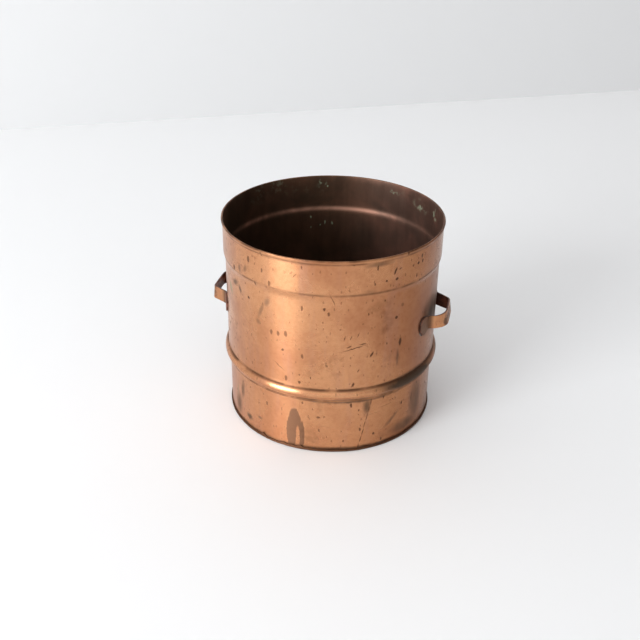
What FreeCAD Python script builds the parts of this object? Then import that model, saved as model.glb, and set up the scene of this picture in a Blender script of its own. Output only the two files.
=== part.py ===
import FreeCAD, Part
import math
import os

import Sketcher

# Open two-piece copper pot with a pan-built lower wall and two strap handles.
#
# Frame: +Z up, origin at the centre of the underside, handles on the X axis, millimetres.
# Every size is a cell of the sheet "Sizes"; every sketch, revolution and pad is bound to those cells.

doc = FreeCAD.newDocument("bee_smoker_pot")

SIZES = [
    # the sheet-metal vessel
    ("pot_height", 270.0, "underside to top of rim"),
    ("wall_diameter", 274.8, "outside of the upper wall"),
    ("sheet", 1.0, "copper sheet of both walls"),
    ("solder_gap", 0.1, "soldered gap all round between nested sheets"),
    # rim collar, which steps out to seat a lid or an insert
    ("collar_depth", 44.5, "rim down to the step"),
    ("collar_step", 2.2, "radial step of the collar"),
    ("step_height", 6.8, "height of the sloped step"),
    ("hem_height", 4.6, "height of the folded rim hem"),
    ("hem_gap", 0.6, "gap inside the folded rim hem"),
    # bead where the upper wall slips over the lower wall
    ("bead_centre", 87.4, "height of the bead's middle"),
    ("bead_height", 14.4, "height of the bead"),
    ("bead_depth", 4.6, "how far the bead stands proud"),
    ("skirt", 3.0, "plain skirt below the bead"),
    ("lap", 3.4, "lower wall above the bead"),
    # base
    ("base_thickness", 1.2, "sheet of the base disc"),
    ("flange_height", 3.6, "upturned edge of the base disc"),
    ("bottom_bend", 1.6, "outside bend radius of the base disc's edge"),
    # solder fillets
    ("fillet_leg", 2.4, "leg of the solder fillet inside the base"),
    ("joint_fillet", 0.9, "leg of the solder fillets at the wall joint"),
    # strap handles
    ("handle_height", 152.5, "middle of the straps"),
    ("strap_thickness", 2.0, "handle strap"),
    ("strap_width", 17.8, "handle strap across its grip"),
    ("handle_reach", 18.6, "upper wall to outside of the grip"),
    ("grip_straight", 26.0, "straight part of the grip"),
    ("corner_radius", 11.0, "bend at each end of the grip"),
    ("root_spacing", 79.0, "between the two places where the strap leaves the wall"),
    ("root_radius", 5.0, "bend where the strap leaves the wall"),
    ("foot_length", 18.0, "foot along the wall, past the root"),
    ("foot_width", 25.4, "flared end of a foot"),
    ("foot_corner", 11.5, "root to the widest place of a foot"),
    ("handle_solder", 0.3, "solder between a foot and the wall"),
    ("solder_margin", 0.8, "solder showing round a foot"),
]

sheet = doc.addObject("Spreadsheet::Sheet", "Sizes")
for row, (alias, value, note) in enumerate(SIZES, start=1):
    sheet.set(f"A{row}", note)
    sheet.set(f"B{row}", str(value))
    sheet.setAlias(f"B{row}", alias)
doc.recompute()

# Places that several pieces share, as expressions on the sheet.
S = "Sizes."
WALL_OUT = f"{S}wall_diameter / 2"
WALL_IN = f"({WALL_OUT} - {S}sheet)"
LOWER_OUT = f"({WALL_IN} - {S}solder_gap)"
LOWER_IN = f"({LOWER_OUT} - {S}sheet)"
COLLAR_OUT = f"({WALL_OUT} + {S}collar_step)"
COLLAR_IN = f"({COLLAR_OUT} - {S}sheet)"
STEP_TOP = f"({S}pot_height - {S}collar_depth)"
STEP_FOOT = f"({STEP_TOP} - {S}step_height)"
BEAD_TOP = f"({S}bead_centre + {S}bead_height / 2)"
BEAD_FOOT = f"({S}bead_centre - {S}bead_height / 2)"
SKIRT_FOOT = f"({BEAD_FOOT} - {S}skirt)"
LOWER_TOP = f"({BEAD_TOP} + {S}lap)"
HEM_CENTRE_Z = f"({S}pot_height - {S}hem_gap / 2 - {S}sheet)"
HEM_FOOT = f"({S}pot_height - {S}hem_height)"
FLANGE_IN = f"({LOWER_OUT} + {S}solder_gap)"
FLANGE_OUT = f"({FLANGE_IN} + {S}base_thickness)"
STRAP_MIDDLE = f"({WALL_OUT} + {S}handle_reach - {S}strap_thickness / 2)"
FOOT_MIDDLE = f"({WALL_OUT} + {S}handle_solder + {S}strap_thickness / 2)"
FOOT_END = f"({S}root_spacing / 2 + {S}foot_length)"


def number(expression):
    """The present value of an expression, for a sketch's starting geometry."""
    value = sheet.evalExpression(expression)
    return float(getattr(value, "Value", value))


def origin_plane(body, role):
    """One of the body's own origin planes, by its role."""
    return next(item for item in body.Origin.OriginFeatures if item.Role == role)


def new_sketch(body, name, role):
    """An empty sketch on one of the body's own origin planes."""
    sketch = body.newObject("Sketcher::SketchObject", name)
    sketch.AttachmentSupport = [(origin_plane(body, role), "")]
    sketch.MapMode = "FlatFace"
    return sketch


def bind(sketch, constraint, expression):
    """Add one dimension to the sketch and tie it to the sheet."""
    index = sketch.addConstraint(constraint)
    sketch.setExpression(f"Constraints[{index}]", expression)


def pin(sketch, element, point, across, up):
    """Fix one sketch point at two expressions, measured from the sketch's origin."""
    for kind, expression in (("DistanceX", across), ("DistanceY", up)):
        if expression == "0":
            axis = -2 if kind == "DistanceX" else -1
            sketch.addConstraint(Sketcher.Constraint("PointOnObject", element, point, axis))
        else:
            value = number(expression)
            bind(sketch, Sketcher.Constraint(kind, -1, 1, element, point, value), expression)


def ends(sketch, element, first):
    """Which end of a sketch element lies at the point first (1 or 2), and the other end."""
    return (1, 2) if (sketch.getPoint(element, 1) - first).Length < 1e-6 else (2, 1)


def closed_outline(sketch, corners):
    """Draw a closed outline. A corner is (across, up), or (across, up, crown_across, crown_up) where
    the edge that follows it is an arc through that crown."""
    places = [FreeCAD.Vector(number(corner[0]), number(corner[1]), 0) for corner in corners]
    count = len(corners)
    edges = []
    for index, corner in enumerate(corners):
        start, end = places[index], places[(index + 1) % count]
        if len(corner) == 2:
            edges.append(sketch.addGeometry(Part.LineSegment(start, end), False))
        else:
            crown = FreeCAD.Vector(number(corner[2]), number(corner[3]), 0)
            edges.append(sketch.addGeometry(Part.Arc(start, crown, end), False))
    for index, corner in enumerate(corners):
        edge, following = edges[index], edges[(index + 1) % count]
        start_point, end_point = ends(sketch, edge, places[index])
        next_start = ends(sketch, following, places[(index + 1) % count])[0]
        pin(sketch, edge, start_point, corner[0], corner[1])
        sketch.addConstraint(Sketcher.Constraint("Coincident", edge, end_point, following, next_start))
        if len(corner) == 4:
            crown = FreeCAD.Vector(number(corner[2]), number(corner[3]), 0)
            mark = sketch.addGeometry(Part.Point(crown), True)
            pin(sketch, mark, 1, corner[2], corner[3])
            sketch.addConstraint(Sketcher.Constraint("PointOnObject", mark, 1, edge))


def turned_body(label, corners):
    """A body turned once round the Z axis from its half section (radius, height)."""
    body = doc.addObject("PartDesign::Body", label)
    section = new_sketch(body, f"{label}_section", "XZ_Plane")
    closed_outline(section, corners)
    turn = body.newObject("PartDesign::Revolution", f"{label}_turn")
    turn.Profile = section
    turn.ReferenceAxis = (section, ["V_Axis"])
    turn.Angle = 360.0
    body.Tip = turn
    return body


def upper_wall():
    """Skirt, bead, plain wall, sloped step, collar and a hem folded outwards at the rim."""
    hem_out = f"({COLLAR_OUT} + {S}hem_gap + {S}sheet)"
    hem_slot = f"({COLLAR_OUT} + {S}hem_gap)"
    hem_middle = f"({COLLAR_OUT} + {S}hem_gap / 2)"
    return turned_body("upper_wall", [
        (WALL_IN, SKIRT_FOOT),
        (WALL_OUT, SKIRT_FOOT),
        (WALL_OUT, BEAD_FOOT, f"({WALL_OUT} + {S}bead_depth)", f"{S}bead_centre"),
        (WALL_OUT, BEAD_TOP),
        (WALL_OUT, STEP_FOOT),
        (COLLAR_OUT, STEP_TOP),
        (COLLAR_OUT, HEM_CENTRE_Z, hem_middle, f"({HEM_CENTRE_Z} + {S}hem_gap / 2)"),
        (hem_slot, HEM_CENTRE_Z),
        (hem_slot, HEM_FOOT),
        (hem_out, HEM_FOOT),
        (hem_out, HEM_CENTRE_Z, hem_middle, f"{S}pot_height"),
        (COLLAR_IN, HEM_CENTRE_Z),
        (COLLAR_IN, STEP_TOP),
        (WALL_IN, STEP_FOOT),
        (WALL_IN, f"({BEAD_TOP} - {S}sheet)", f"({WALL_IN} + {S}bead_depth)", f"{S}bead_centre"),
        (WALL_IN, f"({BEAD_FOOT} + {S}sheet)"),
    ])


def lower_wall():
    """Plain band that stands on the base disc and reaches up inside the bead."""
    return turned_body("lower_wall", [
        (LOWER_IN, f"{S}base_thickness"),
        (LOWER_OUT, f"{S}base_thickness"),
        (LOWER_OUT, LOWER_TOP),
        (LOWER_IN, LOWER_TOP),
    ])


def base_disc():
    """Flat disc whose edge turns up round the foot of the lower wall."""
    bend_foot = f"({FLANGE_OUT} - {S}bottom_bend)"
    inset = f"{S}bottom_bend * (1 - sqrt(2) / 2)"
    return turned_body("base_disc", [
        ("0", "0"),
        (bend_foot, "0", f"({FLANGE_OUT} - {inset})", inset),
        (FLANGE_OUT, f"{S}bottom_bend"),
        (FLANGE_OUT, f"({S}base_thickness + {S}flange_height)"),
        (FLANGE_IN, f"({S}base_thickness + {S}flange_height)"),
        (FLANGE_IN, f"{S}base_thickness"),
        ("0", f"{S}base_thickness"),
    ])


def base_joint_solder():
    """Ring of solder in the inside corner of the base."""
    return turned_body("base_joint_solder", [
        (f"({LOWER_IN} - {S}fillet_leg)", f"{S}base_thickness"),
        (LOWER_IN, f"{S}base_thickness"),
        (LOWER_IN, f"({S}base_thickness + {S}fillet_leg)"),
    ])


def wall_joint_solder():
    """Solder between the nested walls: a ring above the lower wall's edge, a ring below the skirt."""
    inner = turned_body("joint_ring_inside", [
        (LOWER_OUT, BEAD_TOP),
        (WALL_IN, BEAD_TOP),
        (WALL_IN, f"({LOWER_TOP} + {S}joint_fillet)"),
        (LOWER_IN, LOWER_TOP),
        (LOWER_OUT, LOWER_TOP),
    ])
    outer = turned_body("joint_ring_outside", [
        (LOWER_OUT, f"({SKIRT_FOOT} - {S}joint_fillet)"),
        (WALL_OUT, SKIRT_FOOT),
        (WALL_IN, SKIRT_FOOT),
        (WALL_IN, BEAD_FOOT),
        (LOWER_OUT, BEAD_FOOT),
    ])
    group = doc.addObject("Part::Compound", "wall_joint_solder")
    group.Links = [inner, outer]
    return group


def strap_path(body, label):
    """Half of the strap's middle line: grip, corner, leg, root bend and the foot on the wall."""
    middle, foot = number(STRAP_MIDDLE), number(FOOT_MIDDLE)
    grip_end = number(f"{S}grip_straight / 2")
    corner, bend = number(f"{S}corner_radius"), number(f"{S}root_radius")
    root = number(f"{S}root_spacing / 2")
    # the foot's arc ends at the root, where the root bend takes over outside it
    angle = math.asin(root / foot)
    bend_centre = FreeCAD.Vector(math.cos(angle), math.sin(angle), 0) * (foot + bend)
    corner_centre = FreeCAD.Vector(middle - corner, grip_end, 0)
    # the leg is the inner tangent between the corner's circle and the bend's circle
    between = bend_centre - corner_centre
    lean = math.asin((corner + bend) / between.Length)
    heading = math.atan2(between.y, between.x)
    normal = FreeCAD.Vector(math.cos(heading - math.pi / 2 + lean), math.sin(heading - math.pi / 2 + lean), 0)
    leg_start = corner_centre + normal * corner
    leg_end = bend_centre - normal * bend
    root_point = FreeCAD.Vector(math.cos(angle), math.sin(angle), 0) * foot
    end_angle = math.asin(number(FOOT_END) / foot)
    foot_end = FreeCAD.Vector(math.cos(end_angle), math.sin(end_angle), 0) * foot

    def crown(centre, radius, first, last):
        return centre + ((first - centre).normalize() + (last - centre).normalize()).normalize() * radius

    path = new_sketch(body, f"{label}_path", "XY_Plane")
    grip_start_point = FreeCAD.Vector(middle, 0, 0)
    grip_end_point = FreeCAD.Vector(middle, grip_end, 0)
    zero = FreeCAD.Vector(0, 0, 0)
    grip = path.addGeometry(Part.LineSegment(grip_start_point, grip_end_point), False)
    turn = path.addGeometry(
        Part.Arc(grip_end_point, crown(corner_centre, corner, grip_end_point, leg_start), leg_start), False)
    leg = path.addGeometry(Part.LineSegment(leg_start, leg_end), False)
    root_bend = path.addGeometry(
        Part.Arc(leg_end, crown(bend_centre, bend, leg_end, root_point), root_point), False)
    on_wall = path.addGeometry(
        Part.Arc(root_point, crown(zero, foot, root_point, foot_end), foot_end), False)

    turn_first, turn_last = ends(path, turn, grip_end_point)
    bend_first, bend_last = ends(path, root_bend, leg_end)
    wall_first, wall_last = ends(path, on_wall, root_point)
    path.addConstraint(Sketcher.Constraint("Vertical", grip))
    pin(path, grip, 1, STRAP_MIDDLE, "0")
    bind(path, Sketcher.Constraint("DistanceY", grip, 1, grip, 2, grip_end), f"{S}grip_straight / 2")
    path.addConstraint(Sketcher.Constraint("Tangent", grip, 2, turn, turn_first))
    path.addConstraint(Sketcher.Constraint("Tangent", turn, turn_last, leg, 1))
    path.addConstraint(Sketcher.Constraint("Tangent", leg, 2, root_bend, bend_first))
    path.addConstraint(Sketcher.Constraint("Tangent", root_bend, bend_last, on_wall, wall_first))
    bind(path, Sketcher.Constraint("Radius", turn, corner), f"{S}corner_radius")
    bind(path, Sketcher.Constraint("Radius", root_bend, bend), f"{S}root_radius")
    path.addConstraint(Sketcher.Constraint("Coincident", on_wall, 3, -1, 1))
    bind(path, Sketcher.Constraint("Radius", on_wall, foot), FOOT_MIDDLE)
    bind(path, Sketcher.Constraint("DistanceY", -1, 1, on_wall, wall_first, root), f"{S}root_spacing / 2")
    bind(path, Sketcher.Constraint("DistanceY", -1, 1, on_wall, wall_last, number(FOOT_END)), FOOT_END)
    return path


def blank_outline(margin="0", inner_edge=None):
    """Outline of the flattened handle blank across (Y, Z): strap, flared feet, rounded ends.
    margin widens it all round; with inner_edge it is one foot only, starting at that place."""
    half_strap = f"({S}strap_width / 2 + {margin})"
    half_foot = f"({S}foot_width / 2 + {margin})"
    corner = f"({S}root_spacing / 2 + {S}foot_corner)"
    tip = f"({FOOT_END} + {margin})"
    root = f"({S}root_spacing / 2)"
    minus = "0 - "
    right_end = [
        (root, minus + half_strap),
        (corner, minus + half_foot, tip, "0"),
        (corner, half_foot),
        (root, half_strap),
    ]
    if inner_edge:
        return right_end + [(inner_edge, half_strap), (inner_edge, minus + half_strap)]
    left_end = [
        (minus + root, half_strap),
        (minus + corner, half_foot, minus + tip, "0"),
        (minus + corner, minus + half_foot),
        (minus + root, minus + half_strap),
    ]
    return right_end + left_end


def cut_to_outline(body, label, corners):
    """Cut away everything outside an outline that looks along X."""
    mask = new_sketch(body, f"{label}_blank", "YZ_Plane")
    closed_outline(mask, corners)
    reach = f"({S}wall_diameter)"
    closed_outline(mask, [
        ("0 - " + reach, "0 - " + reach),
        (reach, "0 - " + reach),
        (reach, reach),
        ("0 - " + reach, reach),
    ])
    trim = body.newObject("PartDesign::Pocket", f"{label}_trim")
    trim.Profile = mask
    trim.Type = 1
    trim.Midplane = True
    body.Tip = trim
    return trim


def strap_handle(label, turn_about_z):
    """One strap bent to a loop, its ends flared and laid on the wall."""
    body = doc.addObject("PartDesign::Body", label)
    section = new_sketch(body, f"{label}_section", "XZ_Plane")
    half_thick, half_width = f"{S}strap_thickness / 2", f"({S}foot_width / 2)"
    closed_outline(section, [
        (f"({STRAP_MIDDLE} - {half_thick})", "0 - " + half_width),
        (f"({STRAP_MIDDLE} + {half_thick})", "0 - " + half_width),
        (f"({STRAP_MIDDLE} + {half_thick})", half_width),
        (f"({STRAP_MIDDLE} - {half_thick})", half_width),
    ])
    path = strap_path(body, label)
    strip = body.newObject("PartDesign::AdditivePipe", f"{label}_strip")
    strip.Profile = section
    strip.Spine = (path, [f"Edge{index}" for index in range(1, path.GeometryCount + 1)])
    strip.Mode = "Frenet"
    doc.recompute()
    mirrored = body.newObject("PartDesign::Mirrored", f"{label}_whole")
    mirrored.Originals = [strip]
    mirrored.MirrorPlane = (origin_plane(body, "XZ_Plane"), [""])
    body.Tip = mirrored
    doc.recompute()
    cut_to_outline(body, label, blank_outline())
    stand(body, turn_about_z)
    return body


def foot_solder(label, side, turn_about_z):
    """Solder under one foot: a thin curved pad between the wall and the foot."""
    body = doc.addObject("PartDesign::Body", label)
    ring = new_sketch(body, f"{label}_ring", "XY_Plane")
    inner, outer = f"{WALL_OUT}", f"({WALL_OUT} + {S}handle_solder)"
    for radius in (inner, outer):
        circle = ring.addGeometry(
            Part.Circle(FreeCAD.Vector(0, 0, 0), FreeCAD.Vector(0, 0, 1), number(radius)), False)
        ring.addConstraint(Sketcher.Constraint("Coincident", circle, 3, -1, 1))
        bind(ring, Sketcher.Constraint("Radius", circle, number(radius)), radius)
    sleeve = body.newObject("PartDesign::Pad", f"{label}_sleeve")
    sleeve.Profile = ring
    sleeve.Midplane = True
    sleeve.setExpression("Length", f"{S}foot_width + 4 * {S}solder_margin")
    body.Tip = sleeve
    doc.recompute()
    start = f"({S}root_spacing / 2 + {S}solder_margin)"
    cut_to_outline(body, label, blank_outline(f"{S}solder_margin", start))
    doc.recompute()
    # the outline looks along X and meets the sleeve on both sides; the far side is cut off
    far = new_sketch(body, f"{label}_far", "XY_Plane")
    edge = f"({S}wall_diameter)"
    closed_outline(far, [
        ("0 - " + edge, "0 - " + edge),
        ("0", "0 - " + edge),
        ("0", edge),
        ("0 - " + edge, edge),
    ])
    half = body.newObject("PartDesign::Pocket", f"{label}_half")
    half.Profile = far
    half.Type = 1
    half.Midplane = True
    body.Tip = half
    stand(body, turn_about_z, mirrored=side < 0)
    return body


def stand(body, turn_about_z, mirrored=False):
    """Lift a body to the handles' height and turn it to its side of the pot."""
    spin = FreeCAD.Rotation(FreeCAD.Vector(0, 0, 1), turn_about_z)
    if mirrored:
        spin = spin.multiply(FreeCAD.Rotation(FreeCAD.Vector(1, 0, 0), 180))
    body.Placement = FreeCAD.Placement(FreeCAD.Vector(0, 0, 0), spin)
    body.setExpression("Placement.Base.z", f"{S}handle_height")


def handle_solder(label, turn_about_z):
    """The solder under both feet of one handle."""
    pads = [foot_solder(f"{label}_{name}", side, turn_about_z) for name, side in (("one", 1), ("two", -1))]
    group = doc.addObject("Part::Compound", label)
    group.Links = pads
    return group


SIDES = (("right", 0.0), ("left", 180.0))

nodes = [upper_wall(), lower_wall(), base_disc(), wall_joint_solder(), base_joint_solder()]
for side_name, side_angle in SIDES:
    nodes.append(strap_handle(f"handle_{side_name}", side_angle))
    nodes.append(handle_solder(f"handle_{side_name}_solder", side_angle))

doc.recompute()

for item in doc.Objects:
    broken = [state for state in item.State if state in ("Invalid", "Error")]
    if broken:
        raise RuntimeError(f"{item.Label} failed: {item.State}")
for item in doc.Objects:
    if item.TypeId == "Sketcher::SketchObject" and item.solve() != 0:
        raise RuntimeError(f"{item.Label} cannot be solved")
for node in nodes:
    if node.Shape.isNull() or not node.Shape.isValid() or not node.Shape.Solids:
        raise RuntimeError(f"{node.Label} has no valid solid")

os.makedirs("parts", exist_ok=True)
for node in nodes:
    node.Shape.exportStep(f"parts/{node.Label}.step")
    box = node.Shape.BoundBox
    print(f"{node.Label}: {len(node.Shape.Solids)} solid(s), {node.Shape.Volume / 1000:.2f} cm3, "
          f"x {box.XMin:.1f}..{box.XMax:.1f} y {box.YMin:.1f}..{box.YMax:.1f} z {box.ZMin:.1f}..{box.ZMax:.1f}")
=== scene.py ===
"""An open copper pot with two strap handles: its looks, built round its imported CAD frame."""
import functools
import math

import bmesh
import bpy
from mathutils import Matrix, Vector, noise


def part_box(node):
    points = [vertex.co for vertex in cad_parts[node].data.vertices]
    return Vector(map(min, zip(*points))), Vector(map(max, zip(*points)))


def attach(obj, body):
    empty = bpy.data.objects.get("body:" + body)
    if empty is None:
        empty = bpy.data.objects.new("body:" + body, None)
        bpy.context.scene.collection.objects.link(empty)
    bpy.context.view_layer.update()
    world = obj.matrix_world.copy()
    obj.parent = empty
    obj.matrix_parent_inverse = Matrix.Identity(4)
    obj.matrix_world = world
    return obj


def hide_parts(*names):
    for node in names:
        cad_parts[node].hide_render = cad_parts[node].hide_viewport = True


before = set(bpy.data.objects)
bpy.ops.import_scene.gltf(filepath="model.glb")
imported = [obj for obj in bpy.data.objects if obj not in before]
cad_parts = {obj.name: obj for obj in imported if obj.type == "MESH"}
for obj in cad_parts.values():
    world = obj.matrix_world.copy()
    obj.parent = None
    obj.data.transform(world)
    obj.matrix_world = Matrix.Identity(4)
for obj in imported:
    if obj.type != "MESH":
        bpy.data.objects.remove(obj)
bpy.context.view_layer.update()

bl_info = {
    "name": "Copper pot with strap handles",
    "version": (1, 0, 0),
    "blender": (4, 5, 0),
    "location": "3D View > Sidebar > Copper Pot",
    "description": "Builds an aged copper pot with a beaded waist, a collar and two strap handles",
    "category": "Add Mesh",
}

MM = 0.001
TURN_STEPS = 360
MERGE = 0.01 * MM
UP = (0.0, 0.0, 1.0)


def length(name, description, default):
    """A size in metres that a user can change."""
    return bpy.props.FloatProperty(
        name=name, description=description, default=default, min=0.0, precision=5, unit="LENGTH")


def colour(name, description, default):
    """A metal or surface colour that a user can change."""
    return bpy.props.FloatVectorProperty(
        name=name, description=description, default=default, size=3, min=0.0, max=1.0, subtype="COLOR")


def share(name, description, default):
    """A number from 0 to 1 that a user can change."""
    return bpy.props.FloatProperty(
        name=name, description=description, default=default, min=0.0, max=1.0, subtype="FACTOR")


def degrees(name, description, default):
    """An angle that a user can change."""
    return bpy.props.FloatProperty(
        name=name, description=description, default=math.radians(default), unit="ROTATION", subtype="ANGLE")


UPPER_LOW, UPPER_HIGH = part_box("upper_wall")
LOWER_LOW, LOWER_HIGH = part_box("lower_wall")
BASE_LOW, BASE_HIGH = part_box("base_disc")
GRIP_LOW, GRIP_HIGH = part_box("handle_right")


class PotSizes(bpy.types.PropertyGroup):
    """Sizes of the sheet-metal body."""
    sheet: length("Sheet", "Thickness of the wall sheet", 1.0 * MM)
    top: length("Top", "Height of the rim", UPPER_HIGH.z)
    collar_radius: length("Collar radius", "Outside of the collar below the rim", 139.6 * MM)
    wall_radius: length("Wall radius", "Outside of the plain wall", 137.4 * MM)
    bead_radius: length("Bead radius", "Outside of the raised bead", UPPER_HIGH.y)
    hem_radius: length("Hem radius", "Outside of the folded rim", 141.2 * MM)
    hem_height: length("Hem height", "Height of the folded rim", 4.6 * MM)
    fold_radius: length("Fold radius", "Outer radius of the fold at the rim", 1.3 * MM)
    step_top: length("Step top", "Height where the collar ends", 225.5 * MM)
    step_foot: length("Step foot", "Height where the step meets the wall", 218.7 * MM)
    bead_middle: length("Bead middle", "Height of the bead's crest", 87.4 * MM)
    bead_height: length("Bead height", "Height of the bead", 14.4 * MM)
    groove: length("Groove", "Height of the groove rolled into the bead's lower side", 84.0 * MM)
    groove_width: length("Groove width", "Width of that groove", 3.2 * MM)
    groove_depth: length("Groove depth", "Depth of that groove", 0.9 * MM)
    skirt_foot: length("Skirt foot", "Lowest edge of the upper wall", UPPER_LOW.z)
    lower_radius: length("Lower radius", "Outside of the lower wall", LOWER_HIGH.x)
    lower_foot: length("Lower foot", "Lowest edge of the lower wall", LOWER_LOW.z)
    lower_top: length("Lower top", "Highest edge of the lower wall", LOWER_HIGH.z)
    base_radius: length("Base radius", "Outside of the base's turned-up edge", BASE_HIGH.x - 0.6 * MM)
    base_sheet: length("Base sheet", "Thickness of the base disc", 1.2 * MM)
    base_lip: length("Base lip", "Height of the base's turned-up edge", BASE_HIGH.z - 1.2 * MM)
    base_bend: length("Base bend", "Outer radius of the bend at the foot", 1.6 * MM)
    unevenness: length("Unevenness", "How far the hand-made walls wander in and out", 0.35 * MM)


class SeamSizes(bpy.types.PropertyGroup):
    """Sizes of the slanted lapped seam in the lower wall."""
    foot_angle: degrees("Foot angle", "Where the seam meets the base", -62.6)
    slant: bpy.props.FloatProperty(
        name="Slant", description="Turn of the seam round the wall for each metre of height", default=1.72)
    overlap: degrees("Overlap", "How far the two ends of the sheet lie over each other", 4.0)
    ramp: degrees("Ramp", "Over what turn the upper end climbs on to the lower one", 15.0)
    climb: length("Climb", "How far the upper end stands proud", 0.9 * MM)
    waver: degrees("Waver", "How far the cut edge wanders from a straight line", 0.45)


class HandleSizes(bpy.types.PropertyGroup):
    """Sizes of the two strap handles."""
    middle: length("Middle height", "Height of the strap's middle", (GRIP_LOW.z + GRIP_HIGH.z) / 2)
    reach: length("Reach", "Outer face of the grip, from the pot's axis", GRIP_HIGH.x)
    thickness: length("Thickness", "Thickness of the strap", 2.0 * MM)
    width: length("Width", "Width of the strap", 17.8 * MM)
    root: length("Root", "Half of the distance between the roots of the feet", 39.5 * MM)
    root_bend: length("Root bend", "Radius of the strap's middle line where it meets the wall", 5.0 * MM)
    solder: length("Solder", "Thickness of the solder under a foot", 0.3 * MM)
    foot_tip: length("Foot tip", "Half of the distance between the ends of the feet", GRIP_HIGH.y)
    foot_widest: length("Foot widest", "Where a foot is widest, from the middle of the grip", 49.5 * MM)
    foot_width: length("Foot width", "Widest part of a foot", GRIP_HIGH.z - GRIP_LOW.z)
    solder_margin: length("Solder margin", "How far the solder shows round a foot", 0.8 * MM)


class Finish(bpy.types.PropertyGroup):
    """Colours and polish of the aged copper and the solder."""
    bright: colour("Bright copper", "Rubbed copper of the outside", (0.65, 0.320, 0.160))
    deep: colour("Deep copper", "Duller, redder copper of the outside", (0.48, 0.205, 0.100))
    brown: colour("Brown tarnish", "Stains, pits and tarnish in the creases", (0.090, 0.036, 0.016))
    drip: colour("Drip stain", "The brown drip on the lower wall", (0.115, 0.055, 0.030))
    # also the colour of the painted shade and dark reflections among these marks
    grime_and_painted_shade: colour("Grime", "Soft smears of dirt and thin tarnish", (0.085, 0.050, 0.030))
    rose: colour("Rose tarnish", "Thin pinkish tarnish over the outside", (0.46, 0.235, 0.165))
    verdigris: colour("Verdigris", "Green copper salts", (0.26, 0.33, 0.22))
    # the side where the painted shade on the outside is lightest; the colour darkens towards the opposite
    # side
    painted_lit_side: degrees("Rubbed side", "The side of the pot that is rubbed brightest", -110.0)
    inside: colour("Inside", "Oxidised copper inside the pot", (0.165, 0.092, 0.068))
    inside_warm: colour("Inside, warm", "Redder patches inside the pot", (0.27, 0.125, 0.088))
    strap: colour("Strap", "Rubbed outer face of the handles", (0.56, 0.275, 0.135))
    strap_dark: colour("Strap, dark", "Oxidised inner face and edges of the handles", (0.075, 0.034, 0.026))
    tin: colour("Solder", "Dulled solder", (0.30, 0.27, 0.24))
    polish: share("Roughness", "Roughness of the rubbed copper", 0.27)


class StageSettings(bpy.types.PropertyGroup):
    """The camera, the floor and the lights."""
    distance: length("Camera distance", "How far the camera stands from the pot's axis", 1047.5 * MM)
    height: length("Camera height", "Height of the camera above the floor", 701.5 * MM)
    side: degrees("Camera side", "Turn of the camera's place round the pot from the front", 12.25)
    heading: degrees("Camera heading", "Which way the camera looks, turned from +Y", 13.064)
    tilt: degrees("Camera tilt", "How far the camera looks down", 29.188)
    roll: degrees("Camera roll", "Turn of the camera about its own line of sight", 0.729)
    lens: bpy.props.FloatProperty(
        name="Lens", description="Focal length", default=50.19, unit="CAMERA", min=1.0)
    floor: colour("Floor", "Painted floor", (0.87, 0.87, 0.875))
    backdrop: colour("Backdrop", "Wall behind the pot", (0.64, 0.64, 0.645))


# ---------------------------------------------------------------- sheet-metal tools


class Outline:
    """Draws a half section, in the XZ plane, that is then spun into a sheet."""

    def __init__(self, radius, height):
        self.mesh = bmesh.new()
        self.tip = self.mesh.verts.new((radius, 0.0, height))

    def line(self, radius, height, parts=1):
        """Adds a straight run in equal parts."""
        start, stop = self.tip.co.copy(), Vector((radius, 0.0, height))
        for part in range(parts):
            corner = self.mesh.verts.new(start.lerp(stop, (part + 1) / parts))
            self.mesh.edges.new((self.tip, corner))
            self.tip = corner
        return corner

    def arc(self, radius, height, angle, steps):
        """Adds an arc about a centre; a positive angle turns from up towards out."""
        turned = bmesh.ops.spin(
            self.mesh, geom=[self.tip], cent=(radius, 0.0, height), axis=(0.0, 1.0, 0.0),
            angle=math.radians(angle), steps=steps)
        self.tip = turned["geom_last"][0]

    def soften(self, corners, size, segments=3):
        """Rounds corners of the outline."""
        bmesh.ops.bevel(
            self.mesh, geom=corners, offset=size, offset_type="OFFSET", segments=segments,
            profile=0.5, affect="VERTICES", material=-1)

    def spin(self, angle=math.tau, steps=TURN_STEPS):
        """Spins the outline about the pot's axis and closes its seam and pole."""
        bmesh.ops.spin(
            self.mesh, geom=self.mesh.verts[:] + self.mesh.edges[:], cent=(0.0, 0.0, 0.0),
            axis=UP, angle=angle, steps=steps, use_merge=angle == math.tau)
        bmesh.ops.remove_doubles(self.mesh, verts=self.mesh.verts[:], dist=MERGE)
        return self.mesh


def face_out(mesh):
    """Turns all faces of a mesh outward."""
    bmesh.ops.recalc_face_normals(mesh, faces=mesh.faces[:])


def thicken(mesh, thickness):
    """Gives a sheet its thickness, on the side away from its faces' front, and turns its faces outward."""
    face_out(mesh)
    bmesh.ops.solidify(mesh, geom=mesh.faces[:], thickness=thickness)
    face_out(mesh)


def turn_round(mesh, turn):
    """Turns a mesh round the pot's axis."""
    bmesh.ops.rotate(
        mesh, verts=mesh.verts[:], cent=(0.0, 0.0, 0.0), matrix=Matrix.Rotation(turn, 3, "Z"))


def angle_of(point):
    """Where a point stands round the pot's axis."""
    return math.atan2(point.y, point.x)


def turn_between(first, second):
    """The shorter turn from the second angle to the first."""
    return (first - second + math.pi) % math.tau - math.pi


def ripple(angle, height, scale):
    """A noise value that runs round the pot and meets itself."""
    return noise.noise(Vector((math.cos(angle), math.sin(angle), height)) * scale)


def smooth_step(value, low, high):
    """0 below low, 1 above high and a smooth climb between them."""
    part = min(1.0, max(0.0, (value - low) / (high - low)))
    return part * part * (3.0 - 2.0 * part)


def seam_angle(height):
    """Where the lower wall's seam is at a height, wandering as a hand-cut edge does."""
    seam = bpy.context.scene.pot_seam
    wander = noise.noise(Vector((7.0, 3.0, height / (16.0 * MM)))) * seam.waver
    return seam.foot_angle + height * seam.slant + wander


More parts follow.
